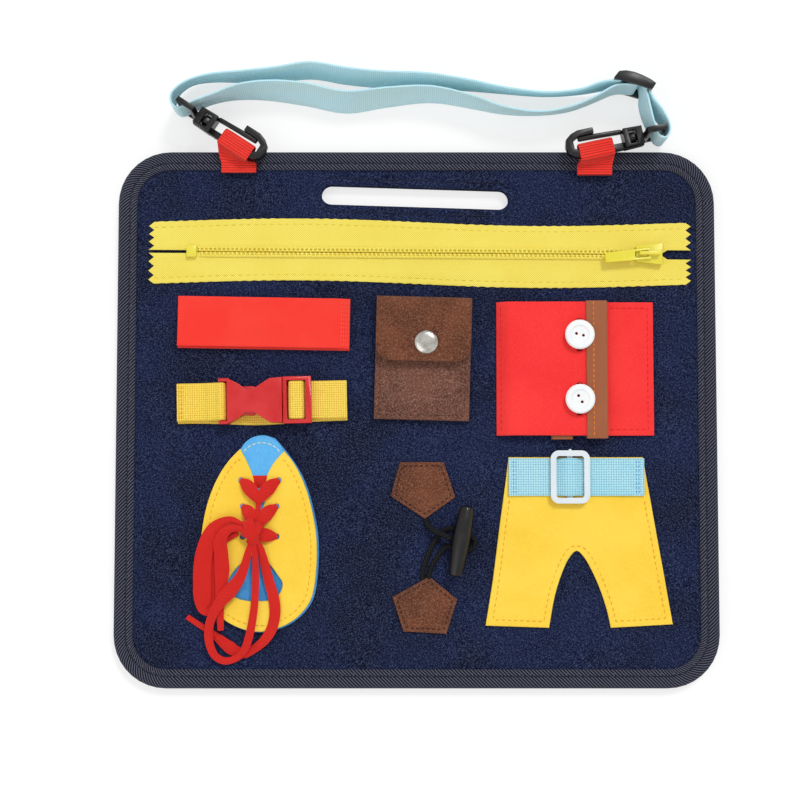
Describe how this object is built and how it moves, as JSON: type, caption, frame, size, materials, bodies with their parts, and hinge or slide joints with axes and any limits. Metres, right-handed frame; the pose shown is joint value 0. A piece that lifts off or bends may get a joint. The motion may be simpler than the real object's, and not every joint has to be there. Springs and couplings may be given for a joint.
{
  "type": "dressing skills toy",
  "caption": "Soft felt activity board with a hand slot, zip, buckle, snap, buttons, laces, toggle and belt to practise on, and a clip-on carrying strap.",
  "frame": {"origin": "centre of the panel's back face, which lies on the table", "axes": "+Z out of the decorated face, +Y towards the hand slot and the carrying strap, +X to the right as the decorated face is read"},
  "size_m": [0.32, 0.332, 0.0264],
  "materials": {
    "navy_felt": "matt felt with light flecks",
    "core_sheet": "matt stiffening sheet",
    "binding_twill": "herringbone twill tape",
    "lemon_tape": "woven zip tape",
    "lemon_plastic": "satin moulded plastic",
    "red_cloth": "brushed cloth",
    "red_felt": "matt felt",
    "red_webbing": "ribbed webbing",
    "red_lace": "flat woven lace",
    "red_plastic": "smooth moulded plastic",
    "gold_webbing": "ribbed webbing",
    "brown_felt": "matt felt",
    "tan_leather": "smooth leather-look tape",
    "snap_metal": "polished",
    "white_plastic": "pearly moulded plastic",
    "deep_blue_felt": "matt felt",
    "sky_felt": "matt felt",
    "yellow_felt": "matt felt",
    "black_cord": "round braided cord",
    "black_plastic": "satin moulded plastic",
    "sky_webbing": "ribbed webbing"
  },
  "bodies": {
    "board": {"back_felt": "navy_felt", "core_board": "core_sheet", "front_felt": "navy_felt", "edge_binding": "binding_twill", "zip_tape_upper": "lemon_tape", "zip_tape_lower": "lemon_tape", "zip_teeth_upper": "lemon_plastic", "zip_teeth_lower": "lemon_plastic", "zip_bottom_stop": "lemon_plastic", "grip_strap_base": "red_cloth", "grip_loop_pad": "red_cloth", "buckle_base_webbing": "gold_webbing", "buckle_left_webbing": "gold_webbing", "buckle_right_webbing": "gold_webbing", "buckle_socket": "red_plastic", "wallet_back": "brown_felt", "wallet_pocket": "brown_felt", "snap_stud": "snap_metal", "shirt_under_panel": "red_felt", "shirt_under_binding": "tan_leather", "shoe_base": "deep_blue_felt", "shoe_tongue": "sky_felt", "shoe_upper": "yellow_felt", "lace_lacing": "red_lace", "lace_loop_left": "red_lace", "lace_tail_left": "red_lace", "lace_loop_middle": "red_lace", "lace_tail_right": "red_lace", "toggle_patch_upper": "brown_felt", "toggle_patch_lower": "brown_felt", "toggle_cord": "black_cord", "toggle_loop": "black_cord", "trousers_felt": "yellow_felt", "belt_webbing": "sky_webbing", "hook_left_eye": "black_plastic", "hook_right_eye": "black_plastic", "red_loop_left": "red_webbing", "red_loop_right": "red_webbing", "strap_webbing": "sky_webbing", "strap_slide": "black_plastic"},
    "zip_slider": {"zip_slider": "lemon_plastic"},
    "zip_puller": {"zip_puller": "lemon_plastic"},
    "grip_flap": {"grip_strap_flap": "red_cloth", "grip_hook_pad": "red_cloth"},
    "buckle_plug": {"buckle_plug": "red_plastic"},
    "buckle_arm_upper": {"buckle_arm_upper": "red_plastic"},
    "buckle_arm_lower": {"buckle_arm_lower": "red_plastic"},
    "wallet_flap": {"wallet_flap": "brown_felt", "snap_cap": "snap_metal", "snap_socket": "snap_metal"},
    "shirt_flap": {"shirt_over_flap": "red_felt", "shirt_over_binding": "tan_leather"},
    "button_top": {"button_top": "white_plastic"},
    "button_bottom": {"button_bottom": "white_plastic"},
    "toggle_bar": {"toggle_bar": "black_plastic"},
    "belt_slide": {"belt_slide_frame": "white_plastic"},
    "hook_left": {"hook_left": "black_plastic"},
    "hook_left_gate": {"hook_left_gate": "black_plastic"},
    "hook_right": {"hook_right": "black_plastic"},
    "hook_right_gate": {"hook_right_gate": "black_plastic"}
  },
  "joints": [
    {"name": "zip_slide", "type": "slide", "parent": "board", "child": "zip_slider", "axis": [-1, 0.007, 0], "range_m": [0, 0.234]},
    {"name": "zip_puller_flip", "type": "hinge", "parent": "zip_slider", "child": "zip_puller", "pos_m": [0.12409, 0.08706, 0.0112], "axis": [-0.0976, 0.9952, 0], "range_deg": [0, 175]},
    {"name": "grip_flap_peel", "type": "hinge", "parent": "board", "child": "grip_flap", "pos_m": [-0.04004, 0.04967, 0.01075], "axis": [0.0175, 0.9998, 0], "range_deg": [0, 110]},
    {"name": "buckle_unclip", "type": "slide", "parent": "board", "child": "buckle_plug", "axis": [0.9998, 0.0209, 0], "range_m": [0, 0.024], "deforming": ["buckle_right_webbing"]},
    {"name": "buckle_arm_upper_squeeze", "type": "hinge", "parent": "buckle_plug", "child": "buckle_arm_upper", "pos_m": [-0.0714, 0.01422, 0.0114], "axis": [0, 0, 1], "range_deg": [0, 7], "stiffness_Nm_per_rad": 0.05},
    {"name": "buckle_arm_lower_squeeze", "type": "hinge", "parent": "buckle_plug", "child": "buckle_arm_lower", "pos_m": [-0.07117, 0.00322, 0.0114], "axis": [0, 0, 1], "range_deg": [-7, 0], "stiffness_Nm_per_rad": 0.05},
    {"name": "wallet_flap_open", "type": "hinge", "parent": "board", "child": "wallet_flap", "pos_m": [0.0042, 0.06189, 0.01405], "axis": [-0.9997, 0.0262, 0], "range_deg": [0, 120]},
    {"name": "shirt_flap_open", "type": "hinge", "parent": "board", "child": "shirt_flap", "pos_m": [0.04809, 0.02571, 0.01195], "axis": [0, -1, 0], "range_deg": [0, 120], "deforming": ["shirt_over_flap", "shirt_over_binding"]},
    {"name": "button_top_turn", "type": "hinge", "parent": "board", "child": "button_top", "pos_m": [0.08629, 0.04341, 0.013], "axis": [0, 0, 1], "range_deg": [-40, 40]},
    {"name": "button_bottom_turn", "type": "hinge", "parent": "board", "child": "button_bottom", "pos_m": [0.08629, 0.00931, 0.013], "axis": [0, 0, 1], "range_deg": [-40, 40]},
    {"name": "toggle_turn", "type": "hinge", "parent": "board", "child": "toggle_bar", "pos_m": [0.0232, -0.06541, 0.0141], "axis": [0, 0, 1], "range_deg": [-20, 60], "deforming": ["toggle_cord"]},
    {"name": "belt_slide", "type": "slide", "parent": "board", "child": "belt_slide", "axis": [1, 0, 0], "range_m": [-0.016, 0.025], "deforming": ["belt_webbing"]},
    {"name": "hook_left_swivel", "type": "hinge", "parent": "board", "child": "hook_left", "pos_m": [-0.11648, 0.16079, 0.0132], "axis": [-0.8387, 0.5446, 0], "range_deg": [0, 40], "deforming": ["red_loop_left"]},
    {"name": "hook_left_gate_open", "type": "hinge", "parent": "hook_left", "child": "hook_left_gate", "pos_m": [-0.1061, 0.15786, 0.0132], "axis": [0, 0, -1], "range_deg": [0, 12], "stiffness_Nm_per_rad": 0.05},
    {"name": "hook_right_swivel", "type": "hinge", "parent": "board", "child": "hook_right", "pos_m": [0.12029, 0.14989, 0.0132], "axis": [-0.9781, -0.2079, 0], "range_deg": [0, 40], "deforming": ["red_loop_right"]},
    {"name": "hook_right_gate_open", "type": "hinge", "parent": "hook_right", "child": "hook_right_gate", "pos_m": [0.10955, 0.15088, 0.0132], "axis": [0, 0, 1], "range_deg": [0, 12], "stiffness_Nm_per_rad": 0.05}
  ],
  "couplings": [
    {"joint": "buckle_arm_lower_squeeze", "follows": "buckle_arm_upper_squeeze", "ratio": -1}
  ]
}
